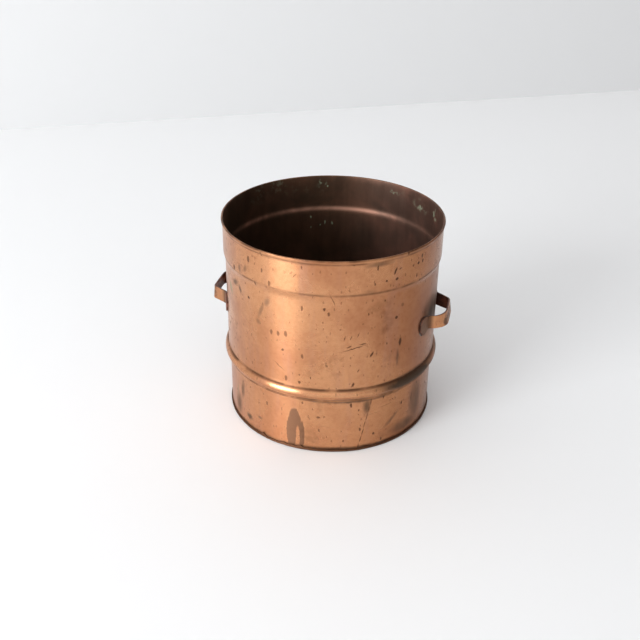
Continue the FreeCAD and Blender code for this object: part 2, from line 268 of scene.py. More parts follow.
def seam_lift(angle, height, after=0.0):
    """How far the metal over the lapped seam stands out; after is the turn in which a cover settles again."""
    seam = bpy.context.scene.pot_seam
    gone = turn_between(seam_angle(height), angle)
    if gone >= 0.0:
        return seam.climb * (1.0 - smooth_step(gone, 0.0, seam.ramp))
    if after:
        return seam.climb * (1.0 - smooth_step(-gone, 0.0, after))
    return 0.0


DENTS = (  # (angle in degrees, height, radius, depth) of soft knocks, in millimetres
    (-132, 196, 26, 0.7), (-88, 128, 34, 0.45), (-47, 178, 30, 0.5), (-118, 52, 24, 0.6),
    (-74, 34, 28, 0.5), (-20, 212, 30, 0.6), (38, 120, 40, 0.8), (96, 190, 38, 0.7),
    (140, 60, 34, 0.8), (62, 245, 22, 0.7),
)


def hand_made(angle, height):
    """How far the walls stand in or out of true at a place, with slow unevenness and soft knocks."""
    sizes = bpy.context.scene.pot_sizes
    out = Vector((math.cos(angle), math.sin(angle), 0.0)) * 1.6
    slow = noise.noise(Vector((out.x, out.y, height / (95.0 * MM))))
    quick = noise.noise(Vector((out.x * 3.1, out.y * 3.1, height / (34.0 * MM) + 5.0)))
    shift = sizes.unevenness * (slow + 0.3 * quick)
    for turn, middle, radius, depth in DENTS:
        across = turn_between(angle, math.radians(turn)) * sizes.wall_radius
        away = math.hypot(across, height - middle * MM) / (radius * MM)
        if away < 1.0:
            shift -= depth * MM * (1.0 - away * away) ** 2
    return shift


def push_out(vert, amount):
    """Moves a vertex away from the pot's axis."""
    flat = Vector((vert.co.x, vert.co.y, 0.0))
    if flat.length > 1.0 * MM:
        vert.co += flat.normalized() * amount


SETTLED = (90.0 * MM, 134.0 * MM)  # the radii between which a flat piece starts to follow the walls


def settle(mesh, extra=None):
    """Gives a piece the walls' unevenness, and any extra push for its own place."""
    for vert in mesh.verts:
        angle = angle_of(vert.co)
        near_wall = smooth_step(math.hypot(vert.co.x, vert.co.y), *SETTLED)
        push = hand_made(angle, vert.co.z) * near_wall
        if extra:
            push += extra(angle, vert.co.z)
        push_out(vert, push)


def place_mesh(mesh, name, materials):
    """Makes an object of a mesh, which is freed."""
    data = bpy.data.meshes.new(name)
    mesh.to_mesh(data)
    mesh.free()
    for paint in materials:
        data.materials.append(paint)
    return place_object(name, data)


def place_object(name, data):
    """Makes an object of its data and puts it in the scene."""
    made = bpy.data.objects.new(name, data)
    bpy.context.scene.collection.objects.link(made)
    return made


def finish_piece(mesh, name, nodes, materials):
    """Makes the object of a piece, which rides on the pot and stands for CAD nodes."""
    piece = place_mesh(mesh, name, [material(kind) for kind in materials])
    piece.data.shade_smooth()
    piece.data.set_sharp_from_angle(angle=SHARP_EDGE)
    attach(piece, "root")
    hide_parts(*nodes)
    return piece


SHARP_EDGE = math.radians(32.0)


def paint_inside(mesh, radius, top):
    """Gives the second material to faces that look at the pot's axis, within a radius and below a height."""
    for face in mesh.faces:
        middle = face.calc_center_median()
        outward = Vector((middle.x, middle.y, 0.0)).normalized()
        looks_in = face.normal.dot(outward) < 0.15
        face.material_index = int(looks_in and middle.z < top and middle.xy.length < radius)


# ---------------------------------------------------------------- material tools


def feed(tree, socket, value):
    """Gives a socket a link or a value."""
    if isinstance(value, bpy.types.NodeSocket):
        tree.links.new(value, socket)
    else:
        socket.default_value = value


def add(tree, kind, inputs=(), **settings):
    """Adds a node. Inputs maps a socket's name or number to a value or to a socket to link."""
    made = tree.nodes.new(kind)
    for name, value in settings.items():
        setattr(made, name, value)
    for name, value in dict(inputs).items():
        feed(tree, made.inputs[name], value)
    return made


def maths(tree, operation, first, second=0.0):
    """A Math node's result."""
    return add(tree, "ShaderNodeMath", {0: first, 1: second}, operation=operation).outputs[0]


def times(tree, *values):
    """The product of values."""
    return functools.reduce(functools.partial(maths, tree, "MULTIPLY"), values)


def plus(tree, *values):
    """The sum of values."""
    return functools.reduce(functools.partial(maths, tree, "ADD"), values)


def most(tree, *values):
    """The largest of values."""
    return functools.reduce(functools.partial(maths, tree, "MAXIMUM"), values)


def blend(tree, factor, first, second, mode="MIX"):
    """A colour mixed from two colours."""
    made = add(tree, "ShaderNodeMix", {"Factor": factor}, data_type="RGBA", blend_type=mode)
    for socket, value in ((made.inputs[6], first), (made.inputs[7], second)):
        feed(tree, socket, value if isinstance(value, bpy.types.NodeSocket) else (*value, 1.0))
    return made.outputs[2]


def remap(tree, value, low, high, to_low=0.0, to_high=1.0):
    """A value moved smoothly from one range to another."""
    return add(tree, "ShaderNodeMapRange", {
        "Value": value, "From Min": low, "From Max": high, "To Min": to_low, "To Max": to_high,
    }, interpolation_type="SMOOTHSTEP").outputs["Result"]


def speckle(tree, place, scale, detail=4.0, roughness=0.55, distortion=0.0):
    """A noise value over a place."""
    return add(tree, "ShaderNodeTexNoise", {
        "Vector": place, "Scale": scale, "Detail": detail, "Roughness": roughness, "Distortion": distortion,
    }).outputs["Fac"]


def stretched(tree, place, scale, turn=(0.0, 0.0, 0.0)):
    """A place stretched, and turned, before a pattern reads it."""
    return add(tree, "ShaderNodeMapping", {"Vector": place, "Rotation": turn, "Scale": scale}).outputs[0]


def separate(tree, place):
    """The X, Y and Z of a place."""
    return add(tree, "ShaderNodeSeparateXYZ", {0: place}).outputs


def dot(tree, place, way):
    """How far a place lies along a way."""
    return add(tree, "ShaderNodeVectorMath", {0: place, 1: way}, operation="DOT_PRODUCT").outputs["Value"]


def toward(tree, place, angle):
    """How far a place is turned to one side: 1 on that side's wall, -1 opposite it."""
    radius = bpy.context.scene.pot_sizes.wall_radius
    return dot(tree, place, (math.cos(angle) / radius, math.sin(angle) / radius, 0.0))


def new_group(name, inputs, outputs):
    """An empty shader node group with its sockets; returns the tree, its inputs and its output node."""
    tree = bpy.data.node_groups.new(name, "ShaderNodeTree")
    for socket, kind, default in inputs:
        made = tree.interface.new_socket(name=socket, in_out="INPUT", socket_type=f"NodeSocket{kind}")
        made.default_value = default
    for socket, kind in outputs:
        tree.interface.new_socket(name=socket, in_out="OUTPUT", socket_type=f"NodeSocket{kind}")
    return tree, tree.nodes.new("NodeGroupInput").outputs, tree.nodes.new("NodeGroupOutput").inputs


def use_group(tree, name, inputs):
    """Places a group in a tree and gives it values or links."""
    made = tree.nodes.new("ShaderNodeGroup")
    made.node_tree = group(name)
    for socket, value in inputs.items():
        feed(tree, made.inputs[socket], value)
    return made.outputs


def group(name):
    """The node group of that name, built the first time."""
    if name not in bpy.data.node_groups:
        GROUPS[name](name)
    return bpy.data.node_groups[name]


def group_wall_place(name):
    """Unrolls the round wall: arc length and height, wobbled so that marks have uneven outlines."""
    tree, given, result = new_group(
        name, [("Vector", "Vector", (0.0, 0.0, 0.0)), ("Wobble", "Float", 1.0 * MM)],
        [("Place", "Vector"), ("Height", "Float"), ("Radius", "Float")])
    parts = separate(tree, given["Vector"])
    angle = maths(tree, "ARCTAN2", parts["Y"], parts["X"])
    arc = times(tree, angle, bpy.context.scene.pot_sizes.wall_radius)
    across = speckle(tree, given["Vector"], 210.0, 3.0)
    along = speckle(tree, stretched(tree, given["Vector"], (1.0, 1.0, 0.7), (0.4, 0.2, 0.9)), 190.0, 3.0)
    arc_wobble = times(tree, maths(tree, "SUBTRACT", across, 0.5), given["Wobble"])
    rise_wobble = times(tree, maths(tree, "SUBTRACT", along, 0.5), given["Wobble"])
    place = add(tree, "ShaderNodeCombineXYZ", {
        "X": plus(tree, arc, arc_wobble), "Y": plus(tree, parts["Z"], rise_wobble)})
    tree.links.new(place.outputs[0], result["Place"])
    tree.links.new(parts["Z"], result["Height"])
    flat = add(tree, "ShaderNodeCombineXYZ", {"X": parts["X"], "Y": parts["Y"]})
    radius = add(tree, "ShaderNodeVectorMath", {0: flat.outputs[0]}, operation="LENGTH")
    tree.links.new(radius.outputs["Value"], result["Radius"])


def group_mark(name):
    """The mask of one oval mark on the unrolled wall."""
    tree, given, result = new_group(
        name, [("Place", "Vector", (0.0, 0.0, 0.0)), ("Middle", "Vector", (0.0, 0.0, 0.0)),
               ("Lean", "Vector", (0.0, 0.0, 0.0)), ("Size", "Vector", (1.0, 1.0, 1.0)),
               ("Soft", "Float", 0.4)],
        [("Mask", "Float")])
    local = add(tree, "ShaderNodeMapping", {
        "Vector": given["Place"], "Location": given["Middle"], "Rotation": given["Lean"],
        "Scale": given["Size"],
    }, vector_type="TEXTURE")
    away = add(tree, "ShaderNodeVectorMath", {0: local.outputs[0]}, operation="LENGTH").outputs["Value"]
    start = maths(tree, "SUBTRACT", 1.0, given["Soft"])
    tree.links.new(remap(tree, away, start, 1.0, 1.0, 0.0), result["Mask"])


def group_pits(name):
    """Small dark pits and dashes, upright and scattered, in only some of the cells of a grid."""
    tree, given, result = new_group(
        name, [("Place", "Vector", (0.0, 0.0, 0.0)), ("Scale", "Float", 60.0), ("Share", "Float", 0.12),
               ("Size", "Float", 0.14)],
        [("Mask", "Float")])
    upright = stretched(tree, given["Place"], (1.0, 0.5, 1.0))
    cells = add(tree, "ShaderNodeTexVoronoi", {"Vector": upright, "Scale": given["Scale"]}, feature="F1",
                voronoi_dimensions="2D")
    luck = add(tree, "ShaderNodeSeparateColor", {0: cells.outputs["Color"]}).outputs
    chosen = maths(tree, "LESS_THAN", luck["Red"], given["Share"])
    reach = times(tree, given["Size"], plus(tree, luck["Green"], 0.35))
    near = remap(tree, maths(tree, "DIVIDE", cells.outputs["Distance"], reach), 0.55, 1.0, 1.0, 0.0)
    tree.links.new(times(tree, near, chosen), result["Mask"])


def group_scratches(name):
    """Fine scratches that run one way, broken up so that only some of them show."""
    tree, given, result = new_group(
        name, [("Place", "Vector", (0.0, 0.0, 0.0)), ("Turn", "Vector", (0.0, 0.0, 0.5)),
               ("Scale", "Float", 240.0), ("Amount", "Float", 0.5)],
        [("Mask", "Float")])
    turned = add(tree, "ShaderNodeMapping", {"Vector": given["Place"], "Rotation": given["Turn"]}).outputs[0]
    lines = speckle(tree, stretched(tree, turned, (1.0, 0.035, 1.0)), given["Scale"], 2.0)
    broken = speckle(tree, turned, 21.0, 2.0)
    thin = remap(tree, lines, 0.66, 0.74)
    shown = remap(tree, broken, 0.52, 0.62)
    tree.links.new(times(tree, thin, shown, given["Amount"]), result["Mask"])


def group_band(name):
    """A soft mask round the pot at one height."""
    tree, given, result = new_group(
        name, [("Height", "Float", 0.0), ("Middle", "Float", 0.0), ("Spread", "Float", 4.0 * MM)],
        [("Mask", "Float")])
    away = maths(tree, "ABSOLUTE", maths(tree, "SUBTRACT", given["Height"], given["Middle"]))
    away = maths(tree, "DIVIDE", away, given["Spread"])
    tree.links.new(remap(tree, away, 0.0, 1.0, 1.0, 0.0), result["Mask"])


GROUPS = {
    "Wall place": group_wall_place,
    "Mark": group_mark,
    "Pits": group_pits,
    "Scratches": group_scratches,
    "Band": group_band,
}


SEAM_DASHES = 7


def seam_dirt():
    """Dark marks that follow the lower wall's seam."""
    sizes = bpy.context.scene.pot_sizes
    run = sizes.skirt_foot / SEAM_DASHES
    for dash in range(SEAM_DASHES):
        height = run * (dash + 0.5)
        turn = (seam_angle(height + run / 2) - seam_angle(height - run / 2)) * sizes.wall_radius / run
        yield (math.degrees(seam_angle(height)) + 0.35, height / MM, 2.3, 1.35 * run / MM,
               -math.degrees(math.atan(turn)), 1.0)


def band_mask(tree, height, middle, spread):
    """The mask of one soft band round the pot."""
    return use_group(tree, "Band", {"Height": height, "Middle": middle, "Spread": spread})["Mask"]


def marks_mask(tree, place, marks, soft):
    """One mask for a list of marks."""
    radius = bpy.context.scene.pot_sizes.wall_radius
    masks = []
    for angle, height, width, tall, lean, strength in marks:
        mask = use_group(tree, "Mark", {
            "Place": place,
            "Middle": (math.radians(angle) * radius, height * MM, 0.0),
            "Lean": (0.0, 0.0, math.radians(lean)),
            "Size": (width * MM / 2, tall * MM / 2, 1.0),
            "Soft": soft,
        })["Mask"]
        masks.append(mask if strength == 1 else times(tree, mask, strength))
    return most(tree, *masks)


def new_material(name):
    """An empty material; returns it with its node tree, its shader and its Object coordinates."""
    made = bpy.data.materials.new(name)
    made.use_nodes = True
    tree = made.node_tree
    tree.nodes.clear()
    shader = tree.nodes.new("ShaderNodeBsdfPrincipled")
    output = tree.nodes.new("ShaderNodeOutputMaterial")
    tree.links.new(shader.outputs[0], output.inputs["Surface"])
    place = tree.nodes.new("ShaderNodeTexCoord").outputs["Object"]
    return made, tree, shader, place


# A mark is (angle in degrees, height, width, length, lean in degrees, strength), in millimetres.
UPPER_MARKS = {
    "smears_and_shade": (  # soft brown or grey marks where something rested or ran; the last three are painted: a dark reflection with tarnish along the bead's right side, and the right handle's shadow and dark reflection on the wall behind it
        (-111.6, 203, 13, 20, -30, 0.75), (-115.6, 189, 9, 38, -22, 0.85), (-117.6, 172, 10, 12, 20, 0.8),
        (-137, 207, 24, 13, 20, 0.95), (-132.6, 202, 9, 18, 20, 0.95), (-130.4, 233, 9, 18, 0, 0.8),
        (-125.4, 237, 9, 16, -20, 0.8), (-41, 128, 7, 34, 0, 0.6), (-59, 228, 22, 10, 0, 0.4),
        # painted: (-30, 89) here and (6, 88) below are a dark reflection with tarnish along the bead; (-8,
        # 162) below is the right handle's painted shadow and dark reflection on the wall
        (-55, 262, 50, 9, 0, 0.9), (-100, 264, 90, 6, 0, 0.5), (-30, 89, 136, 24, 0, 1.9),
        (6, 88, 60, 18, 0, 1), (-8, 162, 96, 78, 0, 1.15),
    ),
    "greens": (
        (-144, 193, 14, 26, 30, 1),
    ),
    "spots": (  # dark spots and dashes on the plain wall and the collar
        (-81.2, 207, 4.6, 5.6, 20, 1), (-43, 185, 5.4, 5.6, 0, 1), (-59, 198, 2.8, 4.6, 0, 0.9),
        (-50.5, 212, 2.8, 4.2, 0, 0.8), (-39.5, 200, 5.6, 6.4, 0, 0.5), (-46, 249.5, 3.8, 11, -24, 1),
        (-43.2, 251, 4.6, 2.6, 20, 0.8), (-44.8, 239, 5, 5, 45, 1), (-50.8, 239, 3.6, 4, 0, 0.9),
        (-28.2, 256.5, 3.8, 7, -6, 1), (-27.6, 250, 3.6, 6, 0, 1), (-31, 249.5, 4.6, 5, -20, 1),
        (-31.6, 234, 2.8, 6.4, 0, 0.8), (-29, 225.5, 5.4, 4, 0, 0.9), (-55.6, 258, 2.2, 9, 0, 0.9),
        (-67.5, 264.5, 6, 2.6, 0, 0.8), (-124.6, 198, 5.2, 5, 0, 1), (-107, 250, 2, 7, 0, 0.8),
        (-97.4, 251, 6, 4, 40, 0.6), (-95.6, 248, 2.4, 9, -35, 0.7), (-61.7, 185.5, 3.4, 3.4, 0, 0.4),
        (-39.8, 149, 5.2, 15, -6, 1), (-56.5, 142, 3.6, 10, -28, 1), (-102.6, 144, 4.4, 4.6, 0, 1),
        (-79.5, 130, 4, 5, 0, 0.7), (-63.3, 121.5, 2.6, 6, -25, 0.8), (-93.5, 102.5, 4.4, 5.4, 0, 1),
        (-93.5, 113, 3, 3.6, 0, 0.8), (-66, 101.5, 3.6, 9, -22, 1),
    ),
    "scores": (  # long thin scratches
        (-105, 120, 1.6, 24, 57, 0.9), (-77.2, 220, 1.3, 30, 24, 0.9), (-66, 153, 1.8, 48, -76, 1),
        (-70.7, 168, 1.5, 9, -12, 1), (-67.6, 168, 1.5, 9, -20, 1), (-64, 171.5, 1.5, 10, -26, 1),
        (-68.5, 156, 2.8, 10, -76, 0.9), (-61.5, 158, 3, 12, -80, 0.9),
    ),
}
LOWER_MARKS = {
    "smears_and_shade": (
        (-134.5, 52, 14, 42, -8, 1), (-140, 24, 26, 50, -8, 1.1), (-128, 18, 20, 14, 0, 1.2),
        (-119, 27, 14, 8, 0, 0.8), (-57.6, 66, 16, 36, 0, 0.9), (-42, 34, 8, 42, -50, 0.8),
        (-32, 16, 80, 26, 0, 0.8), (-22, 45, 40, 90, 0, 0.8), (-26.5, 52, 4.4, 30, 0, 1),
        (-70, 4, 150, 9, 0, 0.9), (-62, 76, 200, 9, 0, 1),
    ),
    "greens": (
        (-141, 44, 8, 26, -8, 0.6),
    ),
    "stains": (  # the brown drip
        (-96.4, 38, 19, 50, 2, 1), (-98.4, 24, 15, 56, 1, 1), (-92.4, 20, 7.5, 50, 0, 1),
    ),
    "slits": (  # bare metal between the drip's two tails
        (-94.6, 13, 6, 50, 1, 1),
    ),
    "spots": (
        (-66.4, 70, 3.4, 8, 0, 1), (-62, 62, 3, 5, 0, 0.8), (-83.5, 52, 5, 4.4, 0, 0.8),
        (-80.5, 53, 3, 3.4, 0, 0.6), (-53, 21, 4, 5, -10, 0.9), (-104, 55, 2.4, 8, 0, 0.6),
        (-89, 52, 2, 8, -8, 0.6), (-70, 16, 3, 5, 0, 0.7),
    ),
    "scores": (
        (-55, 52, 0.9, 40, -84, 0.6), (-45, 60, 1.2, 34, -86, 0.6), (-80, 38, 1, 40, 82, 0.35),
    ),
}


def outside_copper(tree, place, finish, marks, bands, tarnished=0.0):
    """Rubbed, aged copper: mottled and streaked, with pits, scratches, stains and tarnish in the creases,
    painted shade towards the side away from the window, and some smears that are painted shade and dark
    reflections.
    """
    wall = use_group(tree, "Wall place", {"Vector": place, "Wobble": 2.8 * MM})
    flat = wall["Place"]
    clouds = speckle(tree, place, 9.0, 5.0, 0.6, 0.4)
    streaks = speckle(tree, stretched(tree, place, (1.0, 1.0, 0.13)), 46.0, 4.0, 0.6)
    grain = speckle(tree, place, 190.0, 3.0)
    base = blend(tree, remap(tree, clouds, 0.30, 0.68), finish.deep, finish.bright)
    base = blend(tree, remap(tree, streaks, 0.48, 0.72, 0.0, 0.40), base, finish.rose)
    base = blend(tree, remap(tree, grain, 0.35, 0.75, 0.0, 0.16), base, finish.deep, "MULTIPLY")
    # painted shade: the outside's colour darkens smoothly towards the side turned away from the window
    turned = plus(tree, toward(tree, place, finish.painted_lit_side), times(tree, streaks, 0.18))
    base = blend(tree, remap(tree, turned, 0.09, 0.95, 0.9, 0.0), base, PAINTED_AWAY_SHADE, "MULTIPLY")

    creases = most(tree, *(
        times(tree, band_mask(tree, wall["Height"], middle, spread), strength)
        for middle, spread, strength in bands))
    creases = times(tree, creases, remap(tree, speckle(tree, place, 38.0, 4.0), 0.32, 0.60, 0.3, 1.0))
    tarnish = remap(tree, speckle(tree, place, 24.0, 6.0, 0.62), 0.58, 0.72, tarnished, 0.34 + tarnished)
    pits = use_group(tree, "Pits", {"Place": flat, "Scale": 95.0, "Share": 0.10, "Size": 0.19})["Mask"]
    specks = use_group(tree, "Pits", {"Place": flat, "Scale": 240.0, "Share": 0.14, "Size": 0.24})["Mask"]
    fine = use_group(tree, "Scratches", {"Place": flat, "Turn": (0.0, 0.0, 0.55)})["Mask"]
    cross = use_group(tree, "Scratches", {"Place": flat, "Turn": (0.0, 0.0, -1.1), "Scale": 300.0})["Mask"]
    scratches = plus(tree, fine, cross)
    relief = maths(tree, "SUBTRACT", times(tree, scratches, -0.35), pits)
    relief = plus(tree, relief, times(tree, grain, 0.25))

    dark = most(tree, creases, tarnish, times(tree, pits, 0.85), times(tree, specks, 0.45),
                times(tree, scratches, 0.25))
    for kind, soft in (("spots", 0.5), ("scores", 0.8), ("seam", 0.7)):
        if kind in marks:
            dark = most(tree, dark, marks_mask(tree, flat, marks[kind], soft))
    dull = dark
    # some of these marks are painted shade and dark reflections, blended in the same colour as the real grime
    if "smears_and_shade" in marks:
        smears_and_shade = marks_mask(tree, flat, marks["smears_and_shade"], 0.85)
        smears_and_shade = times(tree, smears_and_shade, remap(tree, streaks, 0.40, 0.62, 0.7, 1.0))
        base = blend(tree, times(tree, smears_and_shade, 0.86), base, finish.grime_and_painted_shade)
        dull = most(tree, dull, maths(tree, "MINIMUM", smears_and_shade, 1.0))
    if "greens" in marks:
        greens = marks_mask(tree, flat, marks["greens"], 0.9)
        base = blend(tree, times(tree, greens, 0.6), base, finish.verdigris)
        dull = most(tree, dull, greens)
    if "stains" in marks:
        bare = marks_mask(tree, flat, marks["slits"], 0.3)
        stain = times(tree, marks_mask(tree, flat, marks["stains"], 0.16), maths(tree, "SUBTRACT", 1.0, bare))
        base = blend(tree, times(tree, stain, 0.84), base, finish.drip)
        dull = most(tree, dull, stain)
    base = blend(tree, times(tree, dark, 0.90), base, finish.brown)
    rough = plus(tree, remap(tree, clouds, 0.3, 0.7, 0.05, -0.03), finish.polish, times(tree, dull, 0.26))
    metal = maths(tree, "SUBTRACT", 1.0, times(tree, dull, 0.2))
    return base, rough, metal, relief, 0.12 * MM


PAINTED_AWAY_SHADE = (0.55, 0.46, 0.38)  # painted shade: what the copper's colour is multiplied by on the side turned away from the window, which the lamp lights least


def upper_copper(tree, place, finish):
    """The upper wall's outside, tarnished at the rim, the step and the bead, with painted shade under the
    bead.
    """
    sizes = bpy.context.scene.pot_sizes
    half_bead = sizes.bead_height / 2
    return outside_copper(tree, place, finish, UPPER_MARKS, (
        (sizes.top - sizes.hem_height, 2.6 * MM, 0.75),
        (sizes.top, 3.2 * MM, 1.0),
        (sizes.step_top, 2.8 * MM, 0.7),
        (sizes.bead_middle + half_bead, 3.0 * MM, 1.0),
        # painted shade under the bead, on top of tarnish in its lower crease
        (sizes.bead_middle - half_bead, 5.0 * MM, 1.0),
        (sizes.skirt_foot, 3.0 * MM, 1.0),
    ))


def lower_copper(tree, place, finish):
    """The lower wall's outside, tarnished below the bead, at the foot and along its slanted seam."""
    sizes = bpy.context.scene.pot_sizes
    return outside_copper(tree, place, finish, {**LOWER_MARKS, "seam": seam_dirt()}, (
        (sizes.skirt_foot, 3.0 * MM, 1.0),
        (sizes.base_lip, 5.0 * MM, 1.0),
    ))


def base_copper(tree, place, finish):
    """The base disc, browned all over."""
    return outside_copper(tree, place, finish, {}, ((0.0, 9.0 * MM, 0.95),), tarnished=1.0)


def brushed_round(tree, shader):
    """Spreads highlights up and down, as on sheet that was drawn and rubbed round its axis."""
    tangent = add(tree, "ShaderNodeTangent", direction_type="RADIAL", axis="Z")
    tree.links.new(tangent.outputs[0], shader.inputs["Tangent"])
    shader.inputs["Anisotropic"].default_value = 0.78
    shader.inputs["Anisotropic Rotation"].default_value = 0.25


def inside_copper(tree, place, finish):
    """Dark oxidised copper with runs, redder patches and a little verdigris below the rim, with painted shade
    on its darker side and a painted highlight along the ledge.
    """
    sizes = bpy.context.scene.pot_sizes
    wall = use_group(tree, "Wall place", {"Vector": place, "Wobble": 5.0 * MM})
    flat, height = wall["Place"], wall["Height"]
    runs = speckle(tree, stretched(tree, place, (1.0, 1.0, 0.12)), 60.0, 4.0, 0.6)
    clouds = speckle(tree, place, 13.0, 5.0, 0.6, 0.5)
    grain = speckle(tree, place, 230.0, 3.0)
    base = blend(tree, remap(tree, clouds, 0.36, 0.66), finish.inside, finish.inside_warm)
    base = blend(tree, remap(tree, runs, 0.40, 0.70, 0.0, 0.20), base, finish.inside, "MULTIPLY")
    shade = remap(tree, toward(tree, place, math.radians(150.0)), -0.2, 0.8)
    base = blend(tree, shade, base, SHADED_INSIDE, "MULTIPLY")
    # painted highlight: a lighter rose band along the inside ledge, where its upward slope catches the light
    ledge = band_mask(tree, height, (sizes.step_top + sizes.step_foot) / 2, 4.6 * MM)
    ledge = times(tree, ledge, remap(tree, clouds, 0.38, 0.62, 0.12, 0.6))
    base = blend(tree, ledge, base, finish.rose)
    bloom = remap(tree, speckle(tree, place, 130.0, 5.0, 0.65), 0.50, 0.62)
    scattered = times(tree, band_mask(tree, height, sizes.top, 34.0 * MM),
                      remap(tree, speckle(tree, place, 17.0, 2.0), 0.50, 0.64), 0.35)
    patches = most(tree, scattered, marks_mask(tree, flat, INSIDE_PATCHES, 0.9))
    green = most(tree, times(tree, patches, bloom), marks_mask(tree, flat, INSIDE_SPOTS, 0.8))
    base = blend(tree, times(tree, green, 0.75), base, finish.verdigris)
    rough = plus(tree, remap(tree, clouds, 0.3, 0.7, 0.42, 0.52), times(tree, green, 0.3))
    metal = maths(tree, "SUBTRACT", 0.75, times(tree, green, 0.6))
    relief = plus(tree, times(tree, grain, 0.4), times(tree, green, 0.8))
    return base, rough, metal, relief, 0.12 * MM


SHADED_INSIDE = (0.40, 0.42, 0.34)  # what the inside's colour is multiplied by on its darker side
INSIDE_SPOTS = (  # green spots below the ledge and beside the rim
    (115.6, 210, 3, 6, 0, 0.9), (107, 201, 3, 9, 0, 0.9), (103, 200, 4, 7, 0, 0.8),
    (110, 197, 2.5, 4, 0, 0.8), (115.5, 194, 2.5, 4, 0, 0.7), (105.6, 255, 3.2, 3.6, 0, 1),
)
INSIDE_PATCHES = (  # places where green specks gather
    (109, 260, 18, 12, 0, 0.8), (66, 258, 30, 12, 0, 0.8), (44, 253, 46, 24, 0, 0.8),
    (29, 254, 26, 34, 0, 0.8),
)


def rubbed_strap(tree, place, finish):
    """Rubbed copper strap, tarnished in blotches and where a foot lies on the wall."""
    sizes = bpy.context.scene.pot_handles
    clouds = speckle(tree, place, 40.0, 5.0, 0.6)
    grain = speckle(tree, place, 260.0, 3.0)
    base = blend(tree, remap(tree, clouds, 0.35, 0.66), finish.deep, finish.strap)
    across = maths(tree, "ABSOLUTE", separate(tree, place)["X"])
    corner = remap(tree, across, sizes.reach - 9.0 * MM, sizes.reach, 0.0, 0.16)
    near_wall = use_group(tree, "Wall place", {"Vector": place, "Wobble": 0.0})["Radius"]
    foot = remap(tree, near_wall, 140.5 * MM, 146.0 * MM, 0.85, 0.0)
    blotches = plus(tree, speckle(tree, place, 95.0, 5.0, 0.65), corner)
    tarnish = most(tree, remap(tree, blotches, 0.54, 0.72, 0.0, 0.85), foot)
    base = blend(tree, tarnish, base, finish.brown)
    rough = plus(tree, remap(tree, clouds, 0.3, 0.7, 0.36, 0.28), times(tree, tarnish, 0.2))
    metal = maths(tree, "SUBTRACT", 1.0, times(tree, tarnish, 0.4))
    return base, rough, metal, maths(tree, "SUBTRACT", grain, tarnish), 0.10 * MM


def oxidised_strap(tree, place, finish):
    """Oxidised copper of the strap's inner face and sawn edges."""
    clouds = speckle(tree, place, 60.0, 5.0, 0.6)
    base = blend(tree, remap(tree, clouds, 0.4, 0.7), finish.strap_dark, finish.inside_warm)
    rough, metal = remap(tree, clouds, 0.3, 0.7, 0.55, 0.42), remap(tree, clouds, 0.3, 0.7, 0.55, 0.8)
    return base, rough, metal, speckle(tree, place, 300.0, 3.0), 0.10 * MM


def dull_solder(tree, place, finish):
    """Dulled solder: grey, lumpy and browned where it meets the copper."""
    lumps = speckle(tree, place, 120.0, 4.0)
    base = blend(tree, remap(tree, lumps, 0.38, 0.66), finish.brown, finish.tin)
    rough, metal = remap(tree, lumps, 0.3, 0.7, 0.6, 0.42), remap(tree, lumps, 0.3, 0.7, 0.6, 0.9)
    return base, rough, metal, lumps, 0.3 * MM


def painted_material(name, tone, roughness):
    """Matt paint of the floor and the backdrop, hardly uneven."""
    made, tree, shader, place = new_material(name)
    clouds = speckle(tree, place, 1.4, 3.0)
    dim = tuple(channel * 0.985 for channel in tone)
    tree.links.new(blend(tree, clouds, tone, dim), shader.inputs["Base Color"])
    shader.inputs["Roughness"].default_value = roughness
    return made


MATERIALS = {
    "copper_upper": upper_copper,
    "copper_lower": lower_copper,
    "copper_base": base_copper,
    "copper_inside": inside_copper,
    "strap_rubbed": rubbed_strap,
    "strap_oxidised": oxidised_strap,
    "solder_dull": dull_solder,
}
BRUSHED = ("copper_upper", "copper_lower", "copper_base")


def material(name):
    """The material of that name, built the first time from its colour, roughness, metal share and relief."""
    if name in bpy.data.materials:
        return bpy.data.materials[name]
    made, tree, shader, place = new_material(name)
    *channels, height, depth = MATERIALS[name](tree, place, bpy.context.scene.pot_finish)
    for socket, value in zip(("Base Color", "Roughness", "Metallic"), channels):
        tree.links.new(value, shader.inputs[socket])
    bump = add(tree, "ShaderNodeBump", {"Height": height, "Distance": depth, "Strength": 1.0})
    tree.links.new(bump.outputs[0], shader.inputs["Normal"])
    if name in BRUSHED:
        brushed_round(tree, shader)
    return made


# ---------------------------------------------------------------- operators


